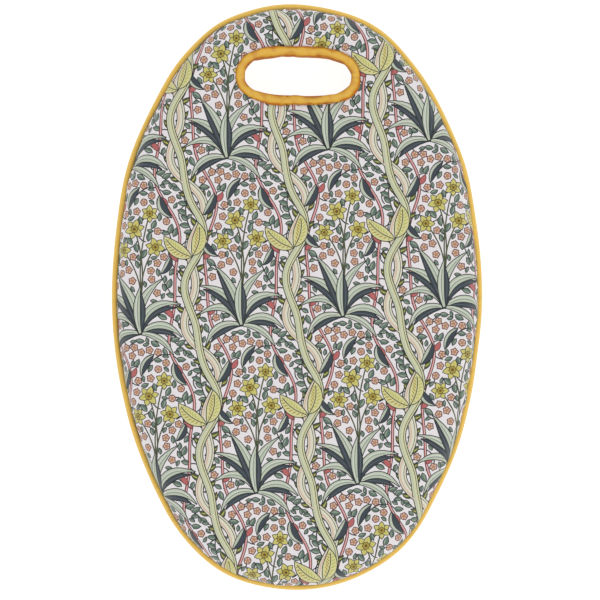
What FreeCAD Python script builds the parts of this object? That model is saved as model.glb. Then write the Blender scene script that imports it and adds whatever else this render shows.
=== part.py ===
# Kneeling pad: an oval slab of foam in a sewn two-panel cover, with piping in the perimeter
# seam and a bound hand slot near one end.
#
# Frame: +X across the pad, +Y along it towards the hand slot, +Z up. The origin is the middle
# of the pad on the surface that it lies on. All sizes are in millimetres and degrees.
import FreeCAD, Part
import math
import os
import Sketcher
from types import SimpleNamespace

doc = FreeCAD.newDocument("kneeling_pad")

# ---------------------------------------------------------------- driving dimensions
DIMENSIONS = {
    # the whole pad
    "pad_length": 450.0,        # over the piping, along Y
    "pad_width": 284.0,         # over the piping, along X
    "pad_height": 35.0,         # floor to the top of the cover
    "end_radius": 114.0,        # plan radius of both ends of the oval, over the piping
    "top_round": 12.0,          # how far the top panel rolls over before the seam
    "base_round": 8.0,          # the same for the base panel
    # perimeter seam
    "seam_level": 15.0,         # middle of the piping above the floor
    "piping_width": 5.6,        # outside diameter of the covered cord
    "sleeve_cloth": 0.6,        # bias strip around the cord
    "cover_cloth": 1.0,         # printed panel and base panel
    "seam_allowance": 8.0,      # turned-in edge of each panel and of the piping strip
    "cord_gap": 0.1,            # between the cord and its sleeve, and the strip's two edges
    "foam_gap": 0.3,            # between the foam and whatever lies beside it
    # hand slot
    "slot_length": 80.0,        # clear opening along X
    "slot_width": 31.0,         # clear opening along Y
    "slot_centre": 168.0,       # from the middle of the pad
    "binding_wall": 1.5,        # binding where it lines the slot
    "binding_reach": 6.5,       # from the clear opening to the binding's outer edge
    "binding_roll": 2.5,        # thickness of the binding where it lies on a panel
    "binding_round": 1.0,       # rounding of the binding's edges
    "dish_depth": 4.0,          # how far the panels are drawn in around the slot
    "dish_margin": 1.5,         # drawn-in floor that shows outside the binding
    "dish_round": 3.0,          # roll from the panel into the drawn-in area
    # sewing
    "thread_width": 0.5,        # every stitch line
    "seam_setback": 0.3,        # perimeter stitches from the inside of the cover's wall
    "stitch_setback": 2.2,      # handle stitches from the binding's outer edge
    "closing_start": -82.0,     # hand-closed opening, about the foot end's centre
    "closing_sweep": 48.0,
}

sheet = doc.addObject("Spreadsheet::Sheet", "Sizes")
for row, (alias, number) in enumerate(DIMENSIONS.items(), start=1):
    sheet.set(f"A{row}", alias)
    sheet.set(f"B{row}", str(number))
    sheet.setAlias(f"B{row}", alias)
doc.recompute()


class Size:
    """A length that is both an expression over the sheet and the number it comes to now."""

    def __init__(self, text, number):
        self.text = text
        self.number = number

    def __add__(self, other):
        return Size(f"({self.text} + {other.text})", self.number + other.number)

    def __sub__(self, other):
        return Size(f"({self.text} - {other.text})", self.number - other.number)

    def __neg__(self):
        return Size(f"(-{self.text})", -self.number)

    def __mul__(self, factor):
        return Size(f"({self.text} * {factor})", self.number * factor)


NONE = Size("0 mm", 0.0)
MILLIMETRE = " * 1 mm"
s = SimpleNamespace(
    **{
        alias: Size(f"(Sizes.{alias}{MILLIMETRE})", float(getattr(sheet, alias)))
        for alias in DIMENSIONS
    }
)

# Levels and insets that several pieces share. An inset is measured from the oval over the piping.
piping_radius = s.piping_width * 0.5
cord_space = piping_radius - s.sleeve_cloth
slit = s.cord_gap * 0.5
top_seam = s.seam_level + slit + s.sleeve_cloth
base_seam = s.seam_level - slit - s.sleeve_cloth
cover_inset = s.piping_width
allowance_inset = cover_inset + s.seam_allowance
foam_inset = cover_inset + s.cover_cloth + s.foam_gap
dish_reach = s.binding_reach + s.dish_margin
top_floor = s.pad_height - s.dish_depth
base_floor = s.dish_depth
binding_top = top_floor + s.binding_roll
binding_base = base_floor - s.binding_roll


# ---------------------------------------------------------------- sketches
START, END, CENTRE = 1, 2, 3
ORIGIN, X_AXIS, Y_AXIS = -1, -1, -2
UPWARDS = FreeCAD.Vector(0, 0, 1)


def new_body(label):
    body = doc.addObject("PartDesign::Body", label)
    body.Label = label
    return body


def new_sketch(body, name, role="XY_Plane", level=NONE):
    """An empty sketch on one of the body's own planes, or at a level above its XY plane."""
    plane = next(f for f in body.Origin.OriginFeatures if f.Role == role)
    sketch = body.newObject("Sketcher::SketchObject", name)
    sketch.AttachmentSupport = (plane, [""])
    sketch.MapMode = "FlatFace"
    sketch.setExpression("AttachmentOffset.Base.z", level.text)
    return sketch


def constrain(sketch, *details):
    return sketch.addConstraint(Sketcher.Constraint(*details))


def dimension(sketch, size, *details):
    """A dimension that follows the sheet."""
    index = constrain(sketch, *details, size.number)
    sketch.setExpression(f"Constraints[{index}]", size.text)


def join_smoothly(sketch, ring):
    """Joins each piece of a closed ring to the next at a tangent."""
    for before, after in zip(ring, ring[1:] + ring[:1]):
        constrain(sketch, "Tangent", before, END, after, START)


def add_arc(sketch, x, y, radius, first, last):
    circle = Part.Circle(FreeCAD.Vector(x, y, 0), UPWARDS, radius)
    return sketch.addGeometry(Part.ArcOfCircle(circle, first, last), False)


def add_oval(sketch, inset):
    """The pad's outline moved inwards by inset: four arcs that meet at tangents.

    The end arcs keep their centres, so every oval is parallel to every other. The side arcs
    follow from the ends and the pad's width.
    """
    end_radius = s.end_radius - inset
    end_place = s.pad_length * 0.5 - s.end_radius
    half_width = s.pad_width * 0.5 - inset
    far, wide, near = end_place.number, half_width.number, end_radius.number
    side_radius = (far**2 + wide**2 - near**2) / (2 * (wide - near))
    side_place = wide - side_radius
    lean = math.atan2(far, -side_place)

    right = add_arc(sketch, side_place, 0, side_radius, -lean, lean)
    head = add_arc(sketch, 0, far, near, lean, math.pi - lean)
    left = add_arc(sketch, -side_place, 0, side_radius, math.pi - lean, math.pi + lean)
    foot = add_arc(sketch, 0, -far, near, math.pi + lean, 2 * math.pi - lean)
    join_smoothly(sketch, [right, head, left, foot])
    for end, place in ((head, end_place), (foot, -end_place)):
        constrain(sketch, "PointOnObject", end, CENTRE, Y_AXIS)
        dimension(sketch, place, "DistanceY", ORIGIN, START, end, CENTRE)
        dimension(sketch, end_radius, "Radius", end)
    for side, place in ((right, half_width), (left, -half_width)):
        point = Part.Point(FreeCAD.Vector(place.number, 0, 0))
        widest = sketch.addGeometry(point, True)
        constrain(sketch, "PointOnObject", widest, START, X_AXIS)
        constrain(sketch, "PointOnObject", widest, START, side)
        dimension(sketch, place, "DistanceX", ORIGIN, START, widest, START)


def add_stadium(sketch, margin):
    """The clear slot's outline grown by margin: two straight runs and two half circles."""
    radius = s.slot_width * 0.5 + margin
    half_run = (s.slot_length - s.slot_width) * 0.5
    run, middle, reach = half_run.number, s.slot_centre.number, radius.number

    def add_line(x1, y1, x2, y2):
        ends = FreeCAD.Vector(x1, y1, 0), FreeCAD.Vector(x2, y2, 0)
        return sketch.addGeometry(Part.LineSegment(*ends), False)

    low = add_line(-run, middle - reach, run, middle - reach)
    right = add_arc(sketch, run, middle, reach, -math.pi / 2, math.pi / 2)
    high = add_line(run, middle + reach, -run, middle + reach)
    left = add_arc(sketch, -run, middle, reach, math.pi / 2, 3 * math.pi / 2)
    join_smoothly(sketch, [low, right, high, left])
    dimension(sketch, radius, "Radius", right)
    dimension(sketch, half_run, "DistanceX", ORIGIN, START, right, CENTRE)
    dimension(sketch, s.slot_centre, "DistanceY", ORIGIN, START, right, CENTRE)
    dimension(sketch, -half_run, "DistanceX", ORIGIN, START, left, CENTRE)
    dimension(sketch, s.slot_centre, "DistanceY", ORIGIN, START, left, CENTRE)


def add_cord_section(sketch, place):
    """The cord's round section, place being the distance of its middle from the Y axis."""
    radius = cord_space - s.cord_gap
    middle = FreeCAD.Vector(place.number, s.seam_level.number, 0)
    circle = sketch.addGeometry(Part.Circle(middle, UPWARDS, radius.number), False)
    dimension(sketch, radius, "Radius", circle)
    dimension(sketch, place, "DistanceX", ORIGIN, START, circle, CENTRE)
    dimension(sketch, s.seam_level, "DistanceY", ORIGIN, START, circle, CENTRE)


def add_sleeve_section(sketch, place):
    """A strip folded around the cord, its two edges lying together towards the pad."""
    outer, inner = slit + s.sleeve_cloth, slit
    edge = s.pad_width * 0.5 - allowance_inset
    level = s.seam_level

    def add_fold(radius, height):
        spread = math.pi - math.asin(height.number / radius.number)
        arc = add_arc(sketch, place.number, level.number, radius.number, -spread, spread)
        dimension(sketch, radius, "Radius", arc)
        return arc

    def add_line(first, last):
        ends = [FreeCAD.Vector(x.number, z.number, 0) for x, z in (first, last)]
        return sketch.addGeometry(Part.LineSegment(*ends), False)

    outside = add_fold(piping_radius, outer)
    inside = add_fold(cord_space, inner)
    constrain(sketch, "Coincident", outside, CENTRE, inside, CENTRE)
    dimension(sketch, place, "DistanceX", ORIGIN, START, outside, CENTRE)
    dimension(sketch, level, "DistanceY", ORIGIN, START, outside, CENTRE)
    for side, arc_end in ((1, END), (-1, START)):
        far, near = (level + outer, level + inner) if side > 0 else (level - outer, level - inner)
        face = add_line((place, far), (edge, far))
        rim = add_line((edge, far), (edge, near))
        back = add_line((edge, near), (place, near))
        constrain(sketch, "Coincident", outside, arc_end, face, START)
        constrain(sketch, "Coincident", face, END, rim, START)
        constrain(sketch, "Coincident", rim, END, back, START)
        constrain(sketch, "Coincident", back, END, inside, arc_end)
        constrain(sketch, "Horizontal", face)
        constrain(sketch, "Vertical", rim)
        constrain(sketch, "Horizontal", back)
        dimension(sketch, edge, "DistanceX", ORIGIN, START, rim, START)
        dimension(sketch, far, "DistanceY", ORIGIN, START, rim, START)
        dimension(sketch, near, "DistanceY", ORIGIN, START, rim, END)


# ---------------------------------------------------------------- features
def check(feature):
    doc.recompute()
    if "Invalid" in feature.State or "Error" in feature.State or feature.Shape.isNull():
        raise RuntimeError(f"{feature.Label} failed: {feature.State}")


def slab(body, name, outlines, low, high):
    """A pad between two levels. outlines are (shape, offset) pairs: one loop, or two for a ring."""
    sketch = new_sketch(body, name + "_outline", level=low)
    for add_shape, offset in outlines:
        add_shape(sketch, offset)
    feature = body.newObject("PartDesign::Pad", name)
    feature.Profile = sketch
    feature.setExpression("Length", (high - low).text)
    check(feature)
    return feature


def cut(body, name, outlines, low, high):
    """The same, taken away. It has to remove something."""
    before = body.Shape.Volume
    sketch = new_sketch(body, name + "_outline", level=low)
    for add_shape, offset in outlines:
        add_shape(sketch, offset)
    feature = body.newObject("PartDesign::Pocket", name)
    feature.Profile = sketch
    feature.Reversed = True
    feature.setExpression("Length", (high - low).text)
    check(feature)
    if body.Shape.Volume >= before:
        raise RuntimeError(f"{body.Label}: {name} removed nothing")
    return feature


def edges_on(feature, sketch, level):
    """Names of the feature's edges that run along a sketch's outline at the given level."""
    guide = sketch.Shape.copy()
    guide.translate(FreeCAD.Vector(0, 0, level.number - guide.BoundBox.ZMin))
    names = []
    for number, edge in enumerate(feature.Shape.Edges, start=1):
        halfway = edge.valueAt((edge.FirstParameter + edge.LastParameter) / 2)
        points = [halfway] + [vertex.Point for vertex in edge.Vertexes]
        if all(guide.distToShape(Part.Vertex(point))[0] < 0.001 for point in points):
            names.append(f"Edge{number}")
    return names


def round_over(body, name, base, level, radius):
    """Fillets the edges that the last feature's own outline left at one level."""
    latest = body.Tip
    feature = body.newObject("PartDesign::Fillet", name)
    feature.Base = (latest, edges_on(latest, base.Profile[0], level))
    feature.setExpression("Radius", radius.text)
    check(feature)
    return feature


def hollow_out(body, name, open_level, wall):
    """Leaves a skin of even thickness, open at its one flat face at open_level."""
    latest = body.Tip
    faces = [
        f"Face{number}"
        for number, face in enumerate(latest.Shape.Faces, start=1)
        if face.BoundBox.ZLength < 0.001
        and abs(face.BoundBox.ZMin - open_level.number) < 0.001
    ]
    feature = body.newObject("PartDesign::Thickness", name)
    feature.Base = (latest, faces)
    feature.Reversed = True
    feature.setExpression("Value", wall.text)
    check(feature)
    return feature


def sweep_along_seam(body, name, add_section):
    """Carries a section along the middle line of the piping, once around the pad."""
    path = new_sketch(body, name + "_path", level=s.seam_level)
    add_oval(path, piping_radius)
    section = new_sketch(body, name + "_section", role="XZ_Plane")
    add_section(section, s.pad_width * 0.5 - piping_radius)
    doc.recompute()
    feature = body.newObject("PartDesign::AdditivePipe", name)
    feature.Profile = section
    feature.Spine = (path, [f"Edge{n + 1}" for n in range(len(path.Shape.Edges))])
    check(feature)


# ---------------------------------------------------------------- sub-parts
def make_cover(label, face, seam, floor, roll):
    """One panel of the cover: a skin from the seam to its face, drawn in around the hand slot.

    It has a turned-in allowance at the seam and a hole that the binding lines.
    """
    upper = face.number > seam.number
    body = new_body(label)
    low, high = (seam, face) if upper else (face, seam)
    block = slab(body, label + "_block", [(add_oval, cover_inset)], low, high)
    round_over(body, label + "_roll", block, face, roll)
    low, high = (floor, face) if upper else (face, floor)
    dish = cut(body, label + "_dish", [(add_stadium, dish_reach)], low, high)
    round_over(body, label + "_dish_roll", dish, face, s.dish_round)
    hollow_out(body, label + "_skin", seam, s.cover_cloth)
    low, high = (seam, seam + s.cover_cloth) if upper else (seam - s.cover_cloth, seam)
    ring = [(add_oval, cover_inset), (add_oval, allowance_inset)]
    slab(body, label + "_allowance", ring, low, high)
    low, high = (floor - s.cover_cloth, floor) if upper else (floor, floor + s.cover_cloth)
    cut(body, label + "_slot", [(add_stadium, s.binding_wall)], low, high)
    return body


def make_foam_core():
    """The slab of foam, with its edges rounded and its side pressed in by the allowances."""
    body = new_body("foam_core")
    base, top = s.cover_cloth, s.pad_height - s.cover_cloth
    block = slab(body, "foam_block", [(add_oval, foam_inset)], base, top)
    round_over(body, "foam_top_roll", block, top, s.top_round - s.cover_cloth)
    round_over(body, "foam_base_roll", block, base, s.base_round - s.cover_cloth)
    dish_edge = dish_reach + s.cover_cloth + s.foam_gap
    low, high = top_floor - s.cover_cloth, top
    dish = cut(body, "foam_top_dish", [(add_stadium, dish_edge)], low, high)
    round_over(body, "foam_top_dish_roll", dish, top, s.dish_round - s.cover_cloth)
    low, high = base, base_floor + s.cover_cloth
    dish = cut(body, "foam_base_dish", [(add_stadium, dish_edge)], low, high)
    round_over(body, "foam_base_dish_roll", dish, base, s.dish_round - s.cover_cloth)
    cut(body, "foam_slot", [(add_stadium, s.binding_wall)], base, top)
    spare = s.cover_cloth + s.thread_width + s.foam_gap
    ring = [(add_oval, cover_inset), (add_oval, allowance_inset + s.foam_gap)]
    cut(body, "foam_seam_groove", ring, base_seam - spare, top_seam + spare)
    return body


def make_piping():
    """The cord in the seam, and the bias strip around it with its own allowance."""
    cord = new_body("piping_cord")
    sweep_along_seam(cord, "cord_run", add_cord_section)
    sleeve = new_body("piping_sleeve")
    sweep_along_seam(sleeve, "sleeve_run", add_sleeve_section)
    return [cord, sleeve]


def make_handle_binding():
    """The strip that lines the slot and is rolled out over both panels."""
    body = new_body("handle_binding")
    wall = [(add_stadium, s.binding_wall), (add_stadium, NONE)]
    flange = [(add_stadium, s.binding_reach), (add_stadium, NONE)]
    slab(body, "binding_lining", wall, binding_base, binding_top)
    top = slab(body, "binding_top_roll", flange, top_floor, binding_top)
    round_over(body, "binding_top_round", top, binding_top, s.binding_round)
    base = slab(body, "binding_base_roll", flange, binding_base, base_floor)
    round_over(body, "binding_base_round", base, binding_base, s.binding_round)
    return body


def make_perimeter_stitches():
    """The needle thread above the three allowances and the bobbin thread below them."""
    needle = new_body("perimeter_seam_thread")
    inner = cover_inset + s.cover_cloth + s.seam_setback
    ring = [(add_oval, inner), (add_oval, inner + s.thread_width)]
    high = top_seam + s.cover_cloth
    low = base_seam - s.cover_cloth
    slab(needle, "needle_line", ring, high, high + s.thread_width)
    bobbin = new_body("perimeter_bobbin_thread")
    slab(bobbin, "bobbin_line", ring, low - s.thread_width, low)
    return [needle, bobbin]


def make_handle_stitches(label, low, high):
    body = new_body(label)
    outer = s.binding_reach - s.stitch_setback
    ring = [(add_stadium, outer), (add_stadium, outer - s.thread_width)]
    slab(body, label + "_line", ring, low, high)
    return body


def make_closing_stitches():
    """Hand stitches that close the gap the foam went in by, in the valley under the piping."""
    thread = doc.addObject("Part::Torus", "closing_seam_thread")
    thread.Label = "closing_seam_thread"
    thread_radius = s.thread_width * 0.5
    thread.setExpression("Radius1", (s.end_radius - cover_inset + thread_radius).text)
    thread.setExpression("Radius2", thread_radius.text)
    thread.setExpression("Angle3", "Sizes.closing_sweep * 1 deg")
    thread.setExpression("Placement.Rotation.Angle", "Sizes.closing_start * 1 deg")
    thread.setExpression("Placement.Base.y", (s.end_radius - s.pad_length * 0.5).text)
    nestled = f"2 * sqrt({piping_radius.text} * {thread_radius.text})"
    thread.setExpression("Placement.Base.z", f"{s.seam_level.text} - {nestled}")
    check(thread)
    return thread


pieces = [
    make_foam_core(),
    make_cover("top_cover", s.pad_height, top_seam, top_floor, s.top_round),
    make_cover("base_cover", NONE, base_seam, base_floor, s.base_round),
    *make_piping(),
    make_handle_binding(),
    *make_perimeter_stitches(),
    make_handle_stitches("handle_top_thread", binding_top, binding_top + s.thread_width),
    make_handle_stitches("handle_base_thread", binding_base - s.thread_width, binding_base),
    make_closing_stitches(),
]

# ---------------------------------------------------------------- checks and files
doc.recompute()
for item in doc.Objects:
    if "Invalid" in item.State or "Error" in item.State:
        raise RuntimeError(f"{item.Label} failed: {item.State}")
for piece in pieces:
    if piece.Shape.isNull() or not piece.Shape.isValid() or not piece.Shape.Solids:
        raise RuntimeError(f"{piece.Label} is not a sound solid")

os.makedirs("parts", exist_ok=True)
for piece in pieces:
    piece.Shape.exportStep(os.path.join("parts", piece.Label + ".step"))
    box = piece.Shape.BoundBox
    print(
        f"{piece.Label}: {piece.Shape.Volume:.0f} mm3, {len(piece.Shape.Solids)} solid, "
        f"x {box.XMin:.1f} {box.XMax:.1f}, y {box.YMin:.1f} {box.YMax:.1f}, "
        f"z {box.ZMin:.2f} {box.ZMax:.2f}"
    )
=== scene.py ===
# Looks of the kneeling pad: a printed cotton cover over foam, golden piping round the edge and
# a golden binding round the hand slot. Shapes are worked out in millimetres and scaled to
# metres when a mesh is made. +Y runs towards the hand slot and +Z out of the printed face.
import math

import bpy
import numpy as np
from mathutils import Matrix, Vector
from mathutils.bvhtree import BVHTree
from mathutils.geometry import delaunay_2d_cdt


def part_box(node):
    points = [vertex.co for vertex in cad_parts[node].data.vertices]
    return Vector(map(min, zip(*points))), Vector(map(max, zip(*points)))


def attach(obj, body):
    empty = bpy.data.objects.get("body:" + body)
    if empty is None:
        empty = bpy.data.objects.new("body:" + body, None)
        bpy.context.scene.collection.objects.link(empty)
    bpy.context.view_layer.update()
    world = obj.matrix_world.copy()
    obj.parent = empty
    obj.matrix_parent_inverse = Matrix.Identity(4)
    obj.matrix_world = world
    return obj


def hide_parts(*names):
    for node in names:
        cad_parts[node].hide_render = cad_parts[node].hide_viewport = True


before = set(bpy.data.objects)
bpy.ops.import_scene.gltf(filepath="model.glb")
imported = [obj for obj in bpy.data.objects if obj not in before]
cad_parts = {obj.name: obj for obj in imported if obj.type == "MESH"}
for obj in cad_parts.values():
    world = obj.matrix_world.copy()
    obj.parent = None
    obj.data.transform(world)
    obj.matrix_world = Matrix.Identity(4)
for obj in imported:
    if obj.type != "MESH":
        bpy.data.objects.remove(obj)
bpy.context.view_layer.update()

METRE = 1000.0


# ------------------------------------------------------------------ places from the frame
def node_box(name):
    low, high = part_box(name)
    return np.array(low) * METRE, np.array(high) * METRE


sleeve_low, sleeve_high = node_box("piping_sleeve")
_, cover_high = node_box("top_cover")
binding_low, binding_high = node_box("handle_binding")
HALF_WIDTH = sleeve_high[0]
HALF_LENGTH = sleeve_high[1]
PIPING_WIDTH = sleeve_high[2] - sleeve_low[2]
SEAM_LEVEL = (sleeve_high[2] + sleeve_low[2]) / 2
TOP = cover_high[2]
SLOT_CENTRE = np.array([0.8, (binding_low[1] + binding_high[1]) / 2])
BINDING_REACH = 6.5
SLOT_HALF_LENGTH = binding_high[0] - BINDING_REACH
SLOT_HALF_WIDTH = (binding_high[1] - binding_low[1]) / 2 - BINDING_REACH

# ------------------------------------------------------------------ sizes of the soft shapes
END_RADIUS = 114.0          # both ends of the oval, over the piping
HAND_SEWN = [               # where the outline strays from the oval: heading, half spread, outwards
    (141, 14, 2.7), (106, 5, 1.3), (84, 8, -1.7), (64, 7, -2.2), (38, 10, 1.9),
    (-18, 9, -0.8), (-44, 9, 0.9), (-67, 6, 0.9), (-105, 7, 1.5), (-140, 7, 0.4),
]
SEAM_INSET = PIPING_WIDTH - 0.4     # from the outside of the piping to the covers' seam
TOP_ROLL = 12.3             # plan width over which the printed panel rolls down to the seam
BASE_ROLL = 9.0
SLOT_POWER = 2.8            # the hand slot is an oval between an ellipse and a rectangle
SLOT_TILT = -1.1            # degrees
DISH_DEPTH = 3.6            # how far the panels dip to the binding
DISH_ROLL = 7.5
COVER_CLOTH = 0.8
SWELLING = 0.6              # how much lower the top panel is before the simulation swells it
HOLE_MARGIN = 3.0           # the panels end under the binding, this far outside the clear slot


# ------------------------------------------------------------------ plan curves
class Ring:
    """A closed plan curve at even steps of about 1 mm, anticlockwise, with outward normals."""

    def __init__(self, points, step=1.0):
        closed = np.vstack([points, points[:1]])
        lengths = np.r_[0, np.cumsum(np.hypot(*np.diff(closed, axis=0).T))]
        self.length = lengths[-1]
        self.along = self.stations(step)
        self.count = len(self.along)
        self.points = np.c_[
            np.interp(self.along, lengths, closed[:, 0]), np.interp(self.along, lengths, closed[:, 1])
        ]
        ahead = np.roll(self.points, -1, 0) - np.roll(self.points, 1, 0)
        ahead /= np.linalg.norm(ahead, axis=1)[:, None]
        self.normals = np.c_[ahead[:, 1], -ahead[:, 0]]

    def at(self, along, outset=0.0):
        """Points at lengths along the ring, moved outwards by outset, and the normals there."""
        place = np.asarray(along) / self.length * self.count
        before = np.floor(place).astype(int)
        share = (place - before)[:, None]
        before, after = before % self.count, (before + 1) % self.count
        point = self.points[before] * (1 - share) + self.points[after] * share
        normal = self.normals[before] * (1 - share) + self.normals[after] * share
        normal /= np.linalg.norm(normal, axis=1)[:, None]
        return point + normal * np.reshape(outset, (-1, 1)), normal

    def stations(self, step):
        """Lengths along the ring at even steps of about this much."""
        count = round(self.length / step)
        return np.arange(count) * self.length / count

    def moved(self, outset, step):
        """The ring moved outwards, as points about a step apart."""
        along = self.stations(step)
        return self.at(along, np.full(len(along), outset))[0]

    def locate(self, points, batch=3000):
        """For each point, the length along the ring of its nearest place, and how far outside."""
        nearest = np.empty(len(points), int)
        for first in range(0, len(points), batch):
            part = points[first:first + batch]
            gap = (part[:, None, 0] - self.points[:, 0]) ** 2 + (part[:, None, 1] - self.points[:, 1]) ** 2
            nearest[first:first + batch] = gap.argmin(1)
        offset = points - self.points[nearest]
        normal = self.normals[nearest]
        slide = offset[:, 1] * normal[:, 0] - offset[:, 0] * normal[:, 1]
        return self.along[nearest] + slide, (offset * normal).sum(1)


def oval_points(count=7200):
    """Four arcs that meet at tangents, by the heading of the outward normal."""
    heading = np.arange(count) * 2 * np.pi / count
    reach = HALF_LENGTH - END_RADIUS
    side_radius = (reach**2 + HALF_WIDTH**2 - END_RADIUS**2) / (2 * (HALF_WIDTH - END_RADIUS))
    turn = np.arctan2(reach, side_radius - HALF_WIDTH)
    on_end = np.abs(np.abs(np.mod(heading, np.pi) - np.pi / 2)) < np.pi / 2 - turn
    radius = np.where(on_end, END_RADIUS, side_radius)
    centre_x = np.where(on_end, 0.0, -np.sign(np.cos(heading)) * (side_radius - HALF_WIDTH))
    centre_y = np.where(on_end, np.sign(np.sin(heading)) * reach, 0.0)
    away = np.c_[np.cos(heading), np.sin(heading)]
    points = np.c_[centre_x, centre_y] + radius[:, None] * away
    bearing = np.degrees(np.arctan2(points[:, 1], points[:, 0]))
    for middle, spread, out in HAND_SEWN:
        apart = (bearing - middle + 180) % 360 - 180
        points += away * (out * np.exp(-((apart / spread) ** 2)))[:, None]
    return points


def slot_points(count=1440):
    around = np.arange(count) * 2 * np.pi / count
    x = SLOT_HALF_LENGTH * np.copysign(np.abs(np.cos(around)) ** (2 / SLOT_POWER), np.cos(around))
    y = SLOT_HALF_WIDTH * np.copysign(np.abs(np.sin(around)) ** (2 / SLOT_POWER), np.sin(around))
    tilt = math.radians(SLOT_TILT)
    turned = np.c_[x * math.cos(tilt) - y * math.sin(tilt), x * math.sin(tilt) + y * math.cos(tilt)]
    return turned + SLOT_CENTRE


EDGE = Ring(oval_points())
SLOT = Ring(slot_points())


# ------------------------------------------------------------------ unevenness
def ring_ripple(along, length, shortest, longest, seed):
    """Smooth unevenness round a ring, mostly between -1 and 1."""
    draw = np.random.default_rng(seed)
    counts = np.arange(math.ceil(length / longest), int(length / shortest) + 1)
    sizes = draw.uniform(0.4, 1.0, len(counts))
    phases = draw.uniform(0, 2 * np.pi, len(counts))
    total = np.zeros(np.shape(along))
    for count, size, phase in zip(counts, sizes, phases):
        total += size * np.sin(2 * np.pi * count * np.asarray(along) / length + phase)
    return total / np.sqrt((sizes**2).sum())


def plane_ripple(points, shortest, longest, seed, waves=14):
    """Smooth unevenness over a plane, mostly between -1 and 1."""
    draw = np.random.default_rng(seed)
    total = np.zeros(len(points))
    for _ in range(waves):
        size = draw.uniform(0.5, 1.0)
        heading, phase = draw.uniform(0, 2 * np.pi, 2)
        wave = 2 * np.pi / draw.uniform(shortest, longest)
        total += size * np.sin(wave * (points @ [math.cos(heading), math.sin(heading)]) + phase)
    return total / math.sqrt(waves * 0.6)


def ease(low, high, value):
    share = np.clip((value - low) / (high - low), 0, 1)
    return share * share * (3 - 2 * share)


# ------------------------------------------------------------------ meshes and pieces
def area_normals(vertices, faces):
    """Vertex normals weighted by face area, so that thin triangles hardly count."""
    corners = vertices[faces]
    normal = np.cross(corners[:, 1] - corners[:, 0], corners[:, 2] - corners[:, 0])
    total = np.zeros_like(vertices)
    for corner in range(3):
        for axis in range(3):
            total[:, axis] += np.bincount(faces[:, corner], normal[:, axis], len(vertices))
    return total / np.maximum(np.linalg.norm(total, axis=1), 1e-12)[:, None]


def new_piece(name, vertices, faces, material, nodes, normals=None):
    """A smooth mesh piece from millimetres, which stands for its CAD nodes."""
    mesh = bpy.data.meshes.new(name)
    mesh.from_pydata((np.asarray(vertices) / METRE).tolist(), [], [list(map(int, f)) for f in faces])
    mesh.materials.append(material)
    mesh.shade_smooth()
    if normals is not None:
        mesh.normals_split_custom_set_from_vertices(normals.tolist())
    piece = bpy.data.objects.new(name, mesh)
    bpy.context.scene.collection.objects.link(piece)
    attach(piece, "root")
    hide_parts(*nodes)
    return piece


def add_attribute(piece, name, kind, domain, values):
    layer = piece.data.attributes.new(name, kind, domain)
    field = {"FLOAT": "value", "FLOAT_VECTOR": "vector", "FLOAT_COLOR": "color"}[kind]
    layer.data.foreach_set(field, np.asarray(values, np.float32).ravel())


def grid_faces(rows, columns, wrap_rows, wrap_columns):
    """Quads of a grid of vertices, row by row, closed round in either direction or both."""
    row = np.arange(rows if wrap_rows else rows - 1)[:, None]
    column = np.arange(columns if wrap_columns else columns - 1)[None, :]
    right, below = (column + 1) % columns, (row + 1) % rows
    here, under = row * columns, below * columns
    corners = [here + column, here + right, under + right, under + column]
    return np.stack(np.broadcast_arrays(*corners), -1).reshape(-1, 4)


# ------------------------------------------------------------------ cloth simulation
SIM_FRAMES = 20
SIM_QUALITY = 6
SIM_PRESSURE = 4.0
FIELD_PITCH = 3.0           # cell size of the smoothed movements
FIELD_BLUR = 5.0


def simulate(vertices, faces, held, pressure, slack, scale=1.0):
    """How far Blender's cloth moves each point of a sheet, in millimetres.

    held is 1 where the cloth is sewn down and less where it only clings to the foam, and slack
    is the share by which it is longer than its place.
    """
    unit = METRE / scale
    mesh = bpy.data.meshes.new("sheet")
    mesh.from_pydata((vertices / unit).tolist(), [], faces.tolist())
    sheet = bpy.data.objects.new("sheet", mesh)
    bpy.context.scene.collection.objects.link(sheet)
    group = sheet.vertex_groups.new(name="held")
    for level in np.unique(held):
        group.add(np.flatnonzero(held == level).tolist(), float(level), "REPLACE")
    modifier = sheet.modifiers.new("cloth", "CLOTH")
    modifier.point_cache.frame_end = SIM_FRAMES
    cloth = modifier.settings
    cloth.quality = SIM_QUALITY
    cloth.vertex_group_mass = "held"
    cloth.shrink_min = -slack
    cloth.use_pressure = True
    cloth.uniform_pressure_force = pressure
    cloth.effector_weights.gravity = 0.0
    for number in range(1, SIM_FRAMES + 1):
        bpy.context.scene.frame_set(number)
    settled = sheet.evaluated_get(bpy.context.evaluated_depsgraph_get())
    places = np.empty(3 * len(vertices))
    settled.data.vertices.foreach_get("co", places)
    bpy.data.objects.remove(sheet)
    bpy.context.scene.frame_set(1)
    return places.reshape(-1, 3) * unit - vertices


def capped(move, most):
    return most * np.tanh(move / most)


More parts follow.
